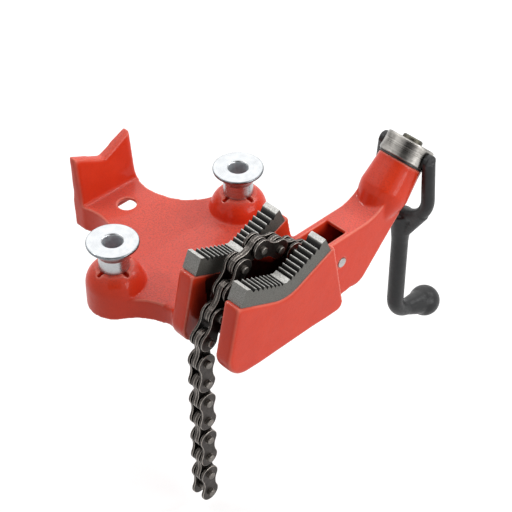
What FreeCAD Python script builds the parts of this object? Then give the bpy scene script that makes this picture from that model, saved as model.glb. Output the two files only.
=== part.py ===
"""Chain pipe vise: a bench vise that clamps a pipe into two V jaws with a leaf chain.

Frame, in millimetres: +Z is up and Z = 0 is the bench face. X = 0 is the plane of the pipe's axis, with the
screw on the +X side. Y = 0 is the line of the two bench bolts, with the pipe rest on the +Y side.
The chain moves in the plane Y = -chain_setback.
"""
import FreeCAD, Part
import Sketcher
import math
import os
import re
from FreeCAD import Placement, Rotation, Vector

# ---------------------------------------------------------------- driving dimensions
DIMENSIONS = {
    # base plate, bench bolts and bending spools
    "bolt_spacing": (120.7, "between the two bench bolts"),
    "bolt_hole": (14.3, "diameter of every bench bolt hole"),
    "plate_thick": (18.0, "height of the base plate"),
    "lobe_radius": (21.5, "round end of the plate at each bolt, and foot of its boss"),
    "boss_top_radius": (13.6, "top of each boss"),
    "boss_lip": (2.0, "straight foot of each boss above the plate"),
    "boss_round": (18.0, "radius of each boss's shoulder"),
    "boss_key": (3.0, "width of the crossed slots in the top of each boss"),
    "boss_key_length": (30.0, "length of the crossed slots"),
    "boss_key_depth": (3.5, "depth of the crossed slots"),
    "boss_height": (33.0, "bench to the seat of a spool"),
    "spool_top": (55.7, "bench to the top of a spool"),
    "spool_radius": (19.0, "flange of a spool"),
    "spool_rim": (2.8, "thickness of the flange at its rim"),
    "spool_neck": (11.2, "radius of the neck of a spool"),
    "spool_flare": (9.0, "height of the cone between the neck and the flange"),
    "flare_hollow": (26.0, "hollow radius of that cone"),
    "scallop_back": (40.0, "radius of the plate's hollow sides behind the bolts"),
    "plate_rear": (21.8, "bench to the top of the plate in front of the rest"),
    "rise_start": (6.0, "bolt line to the start of the plate's rise"),
    "rise_end": (46.0, "bolt line to the end of the plate's rise"),
    "hollow_half": (22.5, "half the width of the hollow under the rear bolt"),
    "hollow_front": (20.0, "rear bolt to the front end of the hollow"),
    "hollow_back": (3.2, "foot of the rest's front face to the back of the hollow"),
    "thin_plate": (3.2, "plate left above the hollow"),
    "scallop_front": (40.0, "radius of the plate's hollow sides in front of the bolts"),
    "rear_bolt_setback": (57.7, "bolt line to the rear bolt"),
    # pipe rest
    "rest_foot": (77.0, "bolt line to the foot of the rest's front face"),
    "rest_taper": (2.6, "how much thinner the rest is at its tips than at the bench"),
    "rest_back": (87.5, "bolt line to the back of the rest, at the bench"),
    "rest_lean": (5.0, "how far the rest leans back at its tips"),
    "rest_half_width": (27.0, "half the width of the pipe rest"),
    "rest_tip": (63.6, "bench to the tips of the rest"),
    "rest_vee": (51.0, "bench to the bottom of the rest's V"),
    "rest_fillet": (4.0, "hollow radius between the plate and the rest"),
    # jaws and the slot between them
    "chain_setback": (82.1, "bolt line to the plane of the chain"),
    "slot_width": (31.4, "between the two walls"),
    "wall_thick": (14.2, "thickness of each wall"),
    "jaw_depth": (13.4, "length of a jaw along the pipe"),
    "jaw_half_width": (37.4, "half the distance between the tips of a jaw"),
    "jaw_vee": (50.0, "bench to the bottom of the jaw's V"),
    "jaw_slope": (23.8, "slope of each flank of the V, degrees"),
    "jaw_thick": (14.0, "thickness of a jaw below its flanks"),
    "jaw_seat_radius": (28.0, "round bottom of a jaw and of its seat"),
    "tooth_pitch": (3.54, "width of the first tooth gap, next to the V"),
    "tooth_growth": (0.2, "how much wider each gap is than the one before it"),
    "tooth_land": (0.5, "flat crest of a tooth"),
    "tooth_drop": (0.05, "crests below the plane of the pads"),
    "tooth_depth": (0.6, "depth of a gap as a share of its width"),
    "tooth_first": (3.05, "V bottom to the first tooth gap"),
    "jaw_pin_radius": (3.0, "radius of the pins that hold the jaws"),
    "jaw_pin_length": (18.0, "length of the pins that hold the jaws"),
    "jaw_pin_place": (24.0, "pipe's plane to each jaw pin"),
    # walls
    "wall_end": (46.0, "pipe's plane to the ends of the walls, at the jaws"),
    "wall_foot_left": (55.5, "pipe's plane to the chain end of the walls, at their foot"),
    "wall_foot_right": (57.0, "pipe's plane to the arm end of the walls, at their foot"),
    "wall_drop": (8.4, "bench to the bottom of the walls, below it"),
    "wall_corner_left": (19.0, "radius of the lower corner at the chain end"),
    "wall_corner_right": (6.0, "radius of the lower corner at the arm end"),
    "floor_thick": (7.0, "floor of the slot"),
    "floor_start": (26.0, "pipe's plane to the chain end of the floor"),
    "claw_gap": (13.0, "between the two claws that catch the chain's pins"),
    "claw_root": (15.0, "pipe's plane to the inner side of the claws"),
    "claw_toe": (42.0, "pipe's plane to the lower end of the claws' face"),
    "claw_tip": (24.5, "pipe's plane to the upper end of the claws' face"),
    "claw_top": (38.0, "bench to the top of the claws"),
    "claw_foot": (8.0, "bench to the underside of the claws"),
    "claw_hook_radius": (4.0, "radius of the hook in the face of the claws"),
    # arm and barrel
    "arm_width": (27.0, "width of the arm"),
    "arm_root": (40.0, "pipe's plane to the inner end of the arm"),
    "arm_top": (37.0, "bench to the flat top of the arm"),
    "arm_bottom": (16.5, "bench to the bottom of the arm, below it"),
    "arm_step": (97.0, "pipe's plane to the step on top of the arm"),
    "arm_knee": (14.0, "radius of the arm's lower bend"),
    "arm_saddle": (34.0, "hollow radius where the arm's top rises to the barrel"),
    "arm_floor": (3.6, "wall below and above the chain's channel"),
    "channel_width": (18.6, "channel for the chain inside the arm"),
    "window_end": (80.0, "pipe's plane to the end of the open top of the channel"),
    "nut_out": (153.4, "pipe's plane to the centre of the nut"),
    "nut_up": (66.9, "bench to the centre of the nut"),
    "screw_tilt": (42.7, "screw's axis from the vertical, degrees"),
    "barrel_top_radius": (17.5, "barrel under the washer"),
    "barrel_radius": (19.2, "widest part of the barrel"),
    "barrel_length": (25.0, "top of the barrel to its widest part"),
    "barrel_below": (14.0, "arm below the screw's axis"),
    # nut, washer, screw
    "nut_radius": (18.9, "outside radius of the nut"),
    "nut_height": (15.0, "height of the nut"),
    "nut_flat": (18.2, "screw's axis to the flats under the yoke"),
    "washer_thick": (1.4, "thrust washer"),
    "washer_radius": (18.0, "outside radius of the washer"),
    "screw_radius": (8.0, "radius of the screw"),
    "screw_proud": (3.0, "end of the screw above the nut"),
    "tongue_thick": (7.6, "thickness of the screw's tongue"),
    "tongue_half_width": (7.0, "half the width of the tongue, and radius of its eye"),
    "barrel_bore_radius": (8.6, "bore of the barrel"),
    # crank handle
    "ear_radius": (5.8, "round end of each ear of the yoke"),
    "ear_thick": (5.4, "thickness of each ear"),
    "trunnion_radius": (3.5, "stub that each ear turns on"),
    "trunnion_length": (7.0, "length of the stub inside the nut"),
    "yoke_drop": (34.5, "nut's centre to the centre of the yoke's bow"),
    "yoke_bow": (23.7, "radius of the yoke's bow, to the middle of the bar"),
    "yoke_bar": (5.2, "radius of the yoke's bar"),
    "yoke_neck": (27.0, "length of the taper from the bow to the shank"),
    "yoke_flare": (2.6, "widening of the shank at the bow"),
    "shank_radius": (6.7, "radius of the shank"),
    "shank_drop": (146.0, "nut's centre to the start of the elbow"),
    "elbow_radius": (20.0, "radius of the elbow, to the middle of the bar"),
    "elbow_turn": (72.0, "angle of the elbow, degrees"),
    "knob_reach": (25.0, "end of the elbow to the middle of the knob"),
    "knob_radius": (12.8, "radius of the ball knob"),
    # fulcrum pin and chain
    "fulcrum_out": (72.7, "pipe's plane to the fulcrum pin"),
    "fulcrum_up": (14.3, "bench to the fulcrum pin"),
    "fulcrum_radius": (3.8, "radius of the fulcrum pin"),
    "chain_pitch": (19.05, "distance between two chain pins"),
    "chain_pin_radius": (2.9, "radius of a chain pin"),
    "chain_pin_length": (17.4, "length of a chain pin, whose ends stand out to be hooked"),
    "chain_lobe": (7.6, "round end of a chain plate"),
    "chain_waist": (5.4, "half the height of a chain plate at its middle"),
    "outer_plate": (2.0, "thickness of an outer plate"),
    "chain_inside": (8.2, "between the two plates of an outer link"),
    "inner_plate": (2.4, "thickness of an inner plate"),
    "inner_plates": (2, "plates in an inner link"),
    "chain_out": (16.1, "pipe's plane to the first chain pin above the slot"),
    "chain_up": (56.3, "bench to the first chain pin above the slot"),
    # clearances
    "running": (0.08, "radial clearance of a pin in a hole it turns in"),
    "side_gap": (0.15, "gap between moving flat faces"),
    "plate_gap": (0.1, "gap between two plates of one link"),
    "free_gap": (0.4, "gap between parts that pass each other"),
}

# Lie of each link above the slot, in degrees above the -X direction, from the first chain pin on.
LIE_OF_LINKS = [29, -20, -54, -54, -57, -82, -89] + 6 * [-90]
HIDDEN_LINKS = 6
TEETH = 8

doc = FreeCAD.newDocument("chain_pipe_vise")
sheet = doc.addObject("Spreadsheet::Sheet", "Dims")
for row, (alias, (size, meaning)) in enumerate(DIMENSIONS.items(), start=1):
    sheet.set(f"A{row}", meaning)
    sheet.set(f"B{row}", str(size))
    sheet.setAlias(f"B{row}", alias)
doc.recompute()


class Sizes:
    """The sheet's values by name, for places and patterns worked out in this file."""
    def __getattr__(self, alias):
        return float(sheet.get(alias))


size = Sizes()


def cell(formula):
    """A formula of cell aliases, written as FreeCAD reads it from another object."""
    return re.sub(r"[a-z]+_[a-z_]+|running",
                  lambda word: f"Dims.{word[0]}" if word[0] in DIMENSIONS else word[0], str(formula))


def worth(formula):
    """What a formula of cell aliases comes to."""
    return float(sheet.evalExpression(cell(formula)))


def bind(obj, **formulas):
    for prop, formula in formulas.items():
        obj.setExpression(prop.replace("__", "."), cell(formula))
    return obj


# ---------------------------------------------------------------- sketches and features
def new_body(label):
    body = doc.addObject("PartDesign::Body", label)
    body.Label = label
    return body


def plane_of(body, role):
    return next(plane for plane in body.Origin.OriginFeatures if plane.Role == role)


def arc_between(start, end, radius):
    """Arc from start to end. A positive radius bulges to the right of the way."""
    chord = end - start
    half = chord.Length / 2
    depth = math.sqrt(radius**2 - half**2)
    right = Vector(chord.y, -chord.x, 0).normalize() * math.copysign(1, radius)
    middle = start + chord / 2
    return Part.Arc(start, middle + right * (abs(radius) - depth), end)


def placed_sketch(body, name, role, across="0", right="0", up="0", tilt="0"):
    """An empty sketch on one of the body's planes, moved along its normal, right and up, then turned."""
    drawing = body.newObject("Sketcher::SketchObject", name)
    drawing.AttachmentSupport = [(plane_of(body, role), "")]
    drawing.MapMode = "FlatFace"
    drawing.AttachmentOffset = Placement(Vector(), Rotation(Vector(0, 0, 1), -1))
    bind(drawing, AttachmentOffset__Base__x=right, AttachmentOffset__Base__y=up,
         AttachmentOffset__Base__z=across, AttachmentOffset__Rotation__Angle=tilt)
    return drawing


def sketch(body, name, role, corners, **place):
    """A closed outline. Each corner is (x, y) or (x, y, radius): a radius makes its side an arc.

    Every coordinate and radius is a formula, bound to the sheet through a constraint.
    """
    drawing = placed_sketch(body, name, role, **place)
    points = [Vector(worth(corner[0]), worth(corner[1]), 0) for corner in corners]
    constraints, formulas, starts = [], [], []
    for index, corner in enumerate(corners):
        start, end = points[index], points[(index + 1) % len(points)]
        if len(corner) == 3:
            drawing.addGeometry(arc_between(start, end, worth(corner[2])), False)
            constraints.append(Sketcher.Constraint("Radius", index, abs(worth(corner[2]))))
            formulas.append(f"abs({corner[2]})")
        else:
            drawing.addGeometry(Part.LineSegment(start, end), False)
        starts.append(1 if drawing.getPoint(index, 1).distanceToPoint(start) < 1e-6 else 2)
        for kind, value, formula in (("DistanceX", start.x, corner[0]), ("DistanceY", start.y, corner[1])):
            constraints.append(Sketcher.Constraint(kind, -1, 1, index, starts[-1], value))
            formulas.append(formula)
    for index, first in enumerate(starts):
        following = (index + 1) % len(corners)
        constraints.append(Sketcher.Constraint("Coincident", index, 3 - first, following, starts[following]))
    drawing.addConstraint(constraints)
    for index, formula in enumerate(formulas):
        drawing.setExpression(f"Constraints[{index}]", cell(formula))
    return drawing


def circle(body, name, role, x, y, radius, **place):
    """A circle at (x, y), all three of them formulas."""
    drawing = placed_sketch(body, name, role, **place)
    drawing.addGeometry(Part.Circle(Vector(worth(x), worth(y), 0), Vector(0, 0, 1), worth(radius)), False)
    drawing.addConstraint([Sketcher.Constraint("DistanceX", -1, 1, 0, 3, worth(x)),
                           Sketcher.Constraint("DistanceY", -1, 1, 0, 3, worth(y)),
                           Sketcher.Constraint("Radius", 0, worth(radius))])
    for index, formula in enumerate((x, y, radius)):
        drawing.setExpression(f"Constraints[{index}]", cell(formula))
    return drawing


def block(x_low, x_high, y_low, y_high):
    """Corners of a rectangle between the four formulas."""
    return [(x_low, y_low), (x_high, y_low), (x_high, y_high), (x_low, y_high)]


def pad(body, drawing, length):
    """Material along the sketch's normal."""
    feature = body.newObject("PartDesign::Pad", f"{drawing.Name}_pad")
    feature.Profile = drawing
    return bind(feature, Length=length)


def pocket(body, drawing, length):
    """A cut against the sketch's normal."""
    feature = body.newObject("PartDesign::Pocket", f"{drawing.Name}_cut")
    feature.Profile = drawing
    return bind(feature, Length=length)


def revolve(body, drawing, kind="Revolution"):
    """Material, or with Groove a cut, turned about the sketch's vertical axis."""
    feature = body.newObject(f"PartDesign::{kind}", f"{drawing.Name}_turned")
    feature.Profile = drawing
    feature.ReferenceAxis = (drawing, ["V_Axis"])
    feature.Angle = 360
    return feature


def bore(body, name, radius, low, high, **place):
    """A round hole about the vertical axis of a sketch on the XZ plane."""
    return revolve(body, sketch(body, name, "XZ_Plane", block("0", radius, low, high), **place), "Groove")


def mirrored(body, feature):
    """The feature's copy on the other side of the pipe's plane."""
    copy = body.newObject("PartDesign::Mirrored", f"{feature.Name}_mirrored")
    copy.Originals = [feature]
    copy.MirrorPlane = (plane_of(body, "YZ_Plane"), [""])
    body.Tip = copy
    return copy


# ---------------------------------------------------------------- places worked out from the sheet
SEAT_APEX = "(jaw_vee-jaw_thick/cos(jaw_slope))"
SEAT_TANGENT = "(jaw_seat_radius*sin(jaw_slope))"
FRONT_OF_SLOT = "chain_setback+slot_width/2"
BACK_OF_SLOT = "chain_setback-slot_width/2"
SCREW_PLACE = dict(across="chain_setback", right="nut_out", up="nut_up", tilt="-screw_tilt")
WASHER_TOP = "(-nut_height/2-side_gap)"
BARREL_TOP = "(-nut_height/2-side_gap-washer_thick)"

chain_y = -size.chain_setback
nut_centre = Vector(size.nut_out, chain_y, size.nut_up)
tilt = math.radians(size.screw_tilt)
screw_axis = Vector(math.sin(tilt), 0, math.cos(tilt))
fulcrum = Vector(size.fulcrum_out, chain_y, size.fulcrum_up)


def chain_route():
    """Centres of the chain's pins, from the eye of the screw to the free end."""
    pitch = size.chain_pitch
    first = Vector(size.chain_out, chain_y, size.chain_up)
    mid_link = size.fulcrum_radius + size.chain_waist + size.free_gap
    wrap = math.hypot(mid_link, pitch / 2)
    reach = (HIDDEN_LINKS // 2) * pitch
    way = fulcrum - first
    bend = math.acos((reach**2 + way.Length**2 - wrap**2) / (2 * reach * way.Length))
    heading = math.atan2(way.z, way.x) - bend
    forward = Vector(math.cos(heading), 0, math.sin(heading))
    slot_pins = [first + forward * pitch * step for step in (3, 2, 1)]
    step_angle = 2 * math.asin(pitch / 2 / wrap)
    start = math.atan2(slot_pins[0].z - fulcrum.z, slot_pins[0].x - fulcrum.x)
    turned = [start + step_angle * step for step in (2, 1)]
    under = [fulcrum + Vector(math.cos(turn), 0, math.sin(turn)) * wrap for turn in turned]
    off_axis = (nut_centre - under[0]).cross(screw_axis).Length
    foot = (under[0] - nut_centre).dot(screw_axis)
    eye = nut_centre + screw_axis * (foot + math.sqrt(pitch**2 - off_axis**2))
    pins = [eye] + under + slot_pins + [first]
    for lie in LIE_OF_LINKS:
        angle = math.radians(lie)
        pins.append(pins[-1] + Vector(-math.cos(angle), 0, math.sin(angle)) * pitch)
    return pins


chain_pins = chain_route()
eye_depth = (nut_centre - chain_pins[0]).dot(screw_axis)


def seat_at(place):
    """Formula of the height of the jaws' seat at a place on its straight part."""
    return f"{SEAT_APEX}+{place}*tan(jaw_slope)"


# ---------------------------------------------------------------- base casting
def wall_outline():
    return [("-wall_foot_left+wall_corner_left", "-wall_drop"),
            ("wall_foot_right-wall_corner_right", "-wall_drop", "wall_corner_right"),
            ("wall_foot_right", "-wall_drop+wall_corner_right"),
            ("wall_end", seat_at("wall_end")),
            (SEAT_TANGENT, seat_at(SEAT_TANGENT), "-jaw_seat_radius"),
            (f"-{SEAT_TANGENT}", seat_at(SEAT_TANGENT)),
            ("-wall_end", seat_at("wall_end")),
            ("-wall_foot_left", "-wall_drop+wall_corner_left", "wall_corner_left")]


def axis_point(out, along):
    """Formulas of a point beside the screw's axis: out to its lower right, along it from the nut."""
    return (f"nut_out+({out})*cos(screw_tilt)+({along})*sin(screw_tilt)",
            f"nut_up-({out})*sin(screw_tilt)+({along})*cos(screw_tilt)")


def face_of_claw(share):
    """Formulas of a point on the slanted face of the claws, from their tip down to their toe."""
    return (f"-(claw_tip+(claw_toe-claw_tip)*{share})", f"claw_top-(claw_top-claw_foot-4)*{share}")


def make_base():
    body = new_body("base_casting")
    plate = [("-rest_half_width", "rest_back"), ("-rest_half_width", "rest_foot", "-scallop_back"),
             ("-bolt_spacing/2", "lobe_radius"),
             ("-bolt_spacing/2-lobe_radius*0.5", "-lobe_radius*0.866", "-scallop_front"),
             ("-wall_foot_left+2", f"-({BACK_OF_SLOT})"),
             ("wall_foot_right-3", f"-({BACK_OF_SLOT})", "-scallop_front"),
             ("bolt_spacing/2+lobe_radius*0.5", "-lobe_radius*0.866"),
             ("bolt_spacing/2", "lobe_radius", "-scallop_back"),
             ("rest_half_width", "rest_foot"), ("rest_half_width", "rest_back")]
    pad(body, sketch(body, "plate", "XY_Plane", plate), "plate_rear")
    above = [("-chain_setback", "plate_thick"), ("rise_start", "plate_thick"), ("rise_end", "plate_rear"),
             ("rise_end", "plate_rear+1"), ("-chain_setback", "plate_rear+1")]
    pocket(body, sketch(body, "plate_rise", "YZ_Plane", above, across="bolt_spacing/2+lobe_radius+1"),
           "bolt_spacing+2*lobe_radius+2")
    boss = [("0", "0"), ("lobe_radius", "0"), ("lobe_radius", "plate_thick+boss_lip", "boss_round"),
            ("boss_top_radius", "boss_height"), ("0", "boss_height")]
    mirrored(body, revolve(body, sketch(body, "boss", "XZ_Plane", boss, right="bolt_spacing/2")))
    rest = [("rest_foot", "0"), ("rest_back", "0"), ("rest_back+rest_lean-rest_taper", "rest_tip"),
            ("rest_foot+rest_lean", "rest_tip"), ("rest_foot", "plate_rear")]
    pad(body, sketch(body, "rest", "YZ_Plane", rest, across="-rest_half_width"), "2*rest_half_width")
    vee = [("0", "rest_vee"), ("rest_half_width", "rest_tip"), ("rest_half_width", "rest_tip+1"),
           ("-rest_half_width", "rest_tip+1"), ("-rest_half_width", "rest_tip")]
    pocket(body, sketch(body, "rest_notch", "XZ_Plane", vee, across="-rest_foot"), "rest_back")
    foot = [("rest_foot-rest_fillet", "plate_rear", "rest_fillet"),
            ("rest_foot+0.5", "plate_rear+rest_fillet"), ("rest_foot+1.5", "plate_rear-0.5")]
    pad(body, sketch(body, "rest_foot_form", "YZ_Plane", foot, across="-rest_half_width"),
        "2*rest_half_width")
    pad(body, sketch(body, "rear_wall", "XZ_Plane", wall_outline(), across=f"{BACK_OF_SLOT}-wall_thick"),
        "wall_thick")
    pad(body, sketch(body, "front_wall", "XZ_Plane", wall_outline(), across=FRONT_OF_SLOT), "wall_thick")
    floor = block("-floor_start", "arm_root+5", "-wall_drop", "-wall_drop+floor_thick")
    pad(body, sketch(body, "slot_floor", "XZ_Plane", floor, across=BACK_OF_SLOT), "slot_width")
    claw = [("-claw_root", "claw_foot"), ("-claw_root", "claw_top"), face_of_claw(0),
            (*face_of_claw(0.36), "-claw_hook_radius"), face_of_claw(0.59), face_of_claw(1),
            ("-claw_toe+3", "claw_foot")]
    for name, side in (("rear", BACK_OF_SLOT), ("front", "chain_setback+claw_gap/2")):
        pad(body, sketch(body, f"{name}_claw", "XZ_Plane", claw, across=side), "(slot_width-claw_gap)/2")
    root = block("arm_root", "wall_end+3", "-wall_drop", "arm_top")
    pad(body, sketch(body, "arm_root_form", "XZ_Plane", root, across=BACK_OF_SLOT), "slot_width")
    arm = [("arm_root+2", "-wall_drop"), ("arm_root+12", "-arm_bottom-3.6"),
           ("arm_step-13", "-arm_bottom", "arm_knee"), axis_point("barrel_below", "-93"),
           axis_point("barrel_below", "-42"), axis_point("0", "-35"),
           (*axis_point("-barrel_radius*0.62", "-37"), "-arm_saddle"), ("arm_step", "arm_top"),
           ("arm_root+2", "arm_top")]
    pad(body, sketch(body, "arm", "XZ_Plane", arm, across="chain_setback-arm_width/2"), "arm_width")
    barrel = [("0", BARREL_TOP), ("barrel_top_radius", BARREL_TOP), ("barrel_top_radius", f"{BARREL_TOP}-5"),
              ("barrel_radius", f"{BARREL_TOP}-barrel_length"),
              ("barrel_radius-1", f"{BARREL_TOP}-barrel_length-6"),
              ("arm_width/2", f"{BARREL_TOP}-barrel_length-18"), ("0", f"{BARREL_TOP}-barrel_length-18")]
    revolve(body, sketch(body, "barrel", "XZ_Plane", barrel, **SCREW_PLACE))
    floor_line = axis_point("barrel_below-arm_floor", "-88")
    channel = [("arm_root-1", "-wall_drop+floor_thick"), ("arm_root+12", "-wall_drop+floor_thick-2"),
               ("arm_root+24", "-arm_bottom+arm_floor"), (floor_line[0] + "-6", "-arm_bottom+arm_floor"),
               axis_point("barrel_below-arm_floor", "-88"), axis_point("barrel_below-arm_floor", "-56"),
               axis_point("-9", "-56"), ("arm_step", "arm_top-arm_floor"),
               ("window_end", "arm_top-arm_floor"), ("window_end", "arm_top+1"),
               ("arm_root-1", "arm_top+1")]
    pocket(body, sketch(body, "channel", "XZ_Plane", channel, across="chain_setback+channel_width/2"),
           "channel_width")
    bore(body, "barrel_bore", "barrel_bore_radius", "-60", f"{BARREL_TOP}+1", **SCREW_PLACE)
    pocket(body, circle(body, "fulcrum_hole", "XZ_Plane", "fulcrum_out", "fulcrum_up", "fulcrum_radius",
                        across="chain_setback+arm_width/2+1"), "arm_width+2")
    mirrored(body, bore(body, "bolt_bore", "bolt_hole/2", "-1", "boss_height+1", right="bolt_spacing/2"))
    keys = [("x", "boss_key/2", "boss_key_length/2"), ("y", "boss_key_length/2", "boss_key/2")]
    for name, deep, wide in keys:
        slot = block(f"bolt_spacing/2-({wide})", f"bolt_spacing/2+({wide})", f"-({deep})", deep)
        key = sketch(body, f"boss_key_{name}", "XY_Plane", slot, across="boss_height+1")
        mirrored(body, pocket(body, key, "boss_key_depth+1"))
    hollow = block("-hollow_half", "hollow_half", "rear_bolt_setback-hollow_front", "rest_foot+hollow_back")
    pocket(body, sketch(body, "hollow", "XY_Plane", hollow, across="plate_rear-thin_plate"), "plate_rear")
    bore(body, "rear_bore", "bolt_hole/2", "-1", "plate_rear+1", across="-rear_bolt_setback")
    for name, middle in (("front", f"{FRONT_OF_SLOT}+jaw_depth/2"), ("rear", f"{BACK_OF_SLOT}-jaw_depth/2")):
        mirrored(body, bore(body, f"{name}_jaw_bore", "jaw_pin_radius",
                            f"{seat_at('jaw_pin_place')}-jaw_pin_length/2", "jaw_vee+20", across=middle,
                            right="jaw_pin_place"))
    return body


def make_spool(label, side):
    body = new_body(label)
    profile = [("bolt_hole/2", "boss_height"), ("spool_neck", "boss_height"),
               ("spool_neck", "spool_top-spool_rim-spool_flare", "-flare_hollow"),
               ("spool_radius-0.8", "spool_top-spool_rim"), ("spool_radius", "spool_top-spool_rim+0.8"),
               ("spool_radius", "spool_top-0.6"),
               ("spool_radius-0.6", "spool_top"), ("bolt_hole/2+1", "spool_top"),
               ("bolt_hole/2", "spool_top-1")]
    revolve(body, sketch(body, f"{label}_profile", "XZ_Plane", profile, right=f"{side}*bolt_spacing/2"))
    return body


def tooth_row(side):
    """Outline of all the gaps of one flank. They grow wider and deeper from the V towards the end pad."""
    corners = [(f"{side}*tooth_first", "0.6")]
    for count in range(TEETH):
        near = f"(tooth_first+{count}*tooth_pitch+{count * (count - 1) // 2}*tooth_growth)"
        pitch = f"(tooth_pitch+{count}*tooth_growth)"
        corners.append((f"{side}*({near}+0.14*{pitch})", f"-tooth_depth*{pitch}"))
        if count < TEETH - 1:
            corners.append((f"{side}*({near}+{pitch}-tooth_land)", "-tooth_drop"))
            corners.append((f"{side}*({near}+{pitch})", "-tooth_drop"))
        else:
            corners += [(f"{side}*({near}+{pitch})", "0"), (f"{side}*({near}+{pitch})", "0.6")]
    return corners


def make_jaw(label, back, middle):
    """A V jaw, cast thick below its flanks, with gaps cut across them between the teeth."""
    body = new_body(label)
    tip = "(jaw_vee+jaw_half_width*tan(jaw_slope))"
    heel = ("jaw_half_width+jaw_thick*sin(jaw_slope)", f"{tip}-jaw_thick*cos(jaw_slope)")
    profile = [("0", "jaw_vee"), ("-jaw_half_width", tip), (f"-({heel[0]})", heel[1]),
               (f"-{SEAT_TANGENT}", seat_at(SEAT_TANGENT), "jaw_seat_radius"),
               (SEAT_TANGENT, seat_at(SEAT_TANGENT)), heel, ("jaw_half_width", tip)]
    pad(body, sketch(body, f"{label}_outline", "XZ_Plane", profile, across=back), "jaw_depth")
    for name, side in (("right", 1), ("left", -1)):
        row = sketch(body, f"{label}_{name}_teeth", "XZ_Plane", tooth_row(side),
                     across=f"{back}+jaw_depth+1", up="jaw_vee", tilt=f"{side}*jaw_slope")
        pocket(body, row, "jaw_depth+2")
    pin_top = f"{seat_at('jaw_pin_place')}+jaw_pin_length/2"
    mirrored(body, bore(body, f"{label}_bore", "jaw_pin_radius", "0", pin_top, across=middle,
                        right="jaw_pin_place"))
    return body


def cylinder(name, radius, height, base, direction):
    """A plain round bar with its sizes bound and its foot at base."""
    bar = bind(doc.addObject("Part::Cylinder", name), Radius=radius, Height=height)
    bar.Placement = Placement(base, Rotation(Vector(0, 0, 1), direction))
    return bar


def group(label, members):
    """Separate solids that share one node."""
    holder = doc.addObject("Part::Compound", label)
    holder.Label = label
    holder.Links = members
    return holder


def make_jaw_pins():
    foot = worth(f"{seat_at('jaw_pin_place')}-jaw_pin_length/2")
    rows = [-worth(f"{FRONT_OF_SLOT}+jaw_depth/2"), -worth(f"{BACK_OF_SLOT}-jaw_depth/2")]
    places = [Vector(side * size.jaw_pin_place, row, foot) for row in rows for side in (-1, 1)]
    return group("jaw_pins", [cylinder(f"jaw_pin_{count}", "jaw_pin_radius", "jaw_pin_length", place,
                                       Vector(0, 0, 1)) for count, place in enumerate(places, start=1)])


def make_fulcrum_pin():
    start = fulcrum + Vector(0, size.arm_width / 2 + 0.3, 0)
    pin = cylinder("fulcrum_pin", "fulcrum_radius", "arm_width+0.6", start, Vector(0, -1, 0))
    pin.Label = "fulcrum_pin"
    return pin


def make_washer():
    body = new_body("thrust_washer")
    revolve(body, sketch(body, "washer", "XZ_Plane", block("barrel_bore_radius", "washer_radius", BARREL_TOP,
                                                          WASHER_TOP), **SCREW_PLACE))
    return body


def make_nut():
    """A round nut with flats and a blind hole on both sides for the yoke's stubs."""
    body = new_body("nut")
    inner = "screw_radius+running"
    profile = [(inner, "-nut_height/2"), ("nut_radius-0.5", "-nut_height/2"),
               ("nut_radius", "-nut_height/2+0.5"),
               ("nut_radius", "nut_height/2-1"), ("nut_radius-1", "nut_height/2"),
               (f"{inner}+1", "nut_height/2"), (inner, "nut_height/2-1")]
    revolve(body, sketch(body, "nut_profile", "XZ_Plane", profile, **SCREW_PLACE))
    for name, near, far in (("front", "chain_setback+nut_radius+1", "nut_radius-nut_flat+1"),
                            ("rear", "chain_setback-nut_flat", "nut_radius-nut_flat+1")):
        flat = block("-nut_radius", "nut_radius", "-nut_height", "nut_height")
        side = sketch(body, f"{name}_flat", "XZ_Plane", flat, across=near, right="nut_out",
                      up="nut_up", tilt="-screw_tilt")
        pocket(body, side, far)
    depth = "trunnion_length+free_gap"
    for name, near in (("front", "chain_setback+nut_flat+1"), ("rear", f"chain_setback-nut_flat+{depth}")):
        socket = circle(body, f"{name}_socket", "XZ_Plane", "nut_out", "nut_up",
                        "trunnion_radius+running", across=near)
        pocket(body, socket, f"{depth}+1")
    return body


def make_screw():
    """The screw, with a flat tongue and an eye for the chain at its lower end."""
    body = new_body("draw_screw")
    depth = round(eye_depth, 6)
    shank = [("0", f"-{depth}+14"), ("screw_radius-1", f"-{depth}+14"), ("screw_radius", f"-{depth}+15"),
             ("screw_radius", "nut_height/2+screw_proud-1"), ("screw_radius-1", "nut_height/2+screw_proud"),
             ("0", "nut_height/2+screw_proud")]
    revolve(body, sketch(body, "screw_shank", "XZ_Plane", shank, **SCREW_PLACE))
    tongue = [("tongue_half_width", f"-{depth}"), ("tongue_half_width", f"-{depth}+18"),
              ("-tongue_half_width", f"-{depth}+18"),
              ("-tongue_half_width", f"-{depth}", "tongue_half_width"),
              ("0", f"-{depth}-tongue_half_width", "tongue_half_width")]
    place = dict(SCREW_PLACE, across="chain_setback-tongue_thick/2")
    pad(body, sketch(body, "screw_tongue", "XZ_Plane", tongue, **place), "tongue_thick")
    pocket(body, circle(body, "screw_eye", "XZ_Plane", "0", f"-{depth}", "chain_pin_radius",
                        **dict(SCREW_PLACE, across="chain_setback+tongue_thick/2+1")), "tongue_thick+2")
    return body


def make_anchor_pin():
    start = chain_pins[0] + Vector(0, size.tongue_thick / 2, 0)
    pin = cylinder("anchor_pin", "chain_pin_radius", "tongue_thick", start, Vector(0, -1, 0))
    pin.Label = "anchor_pin"
    return pin


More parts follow.
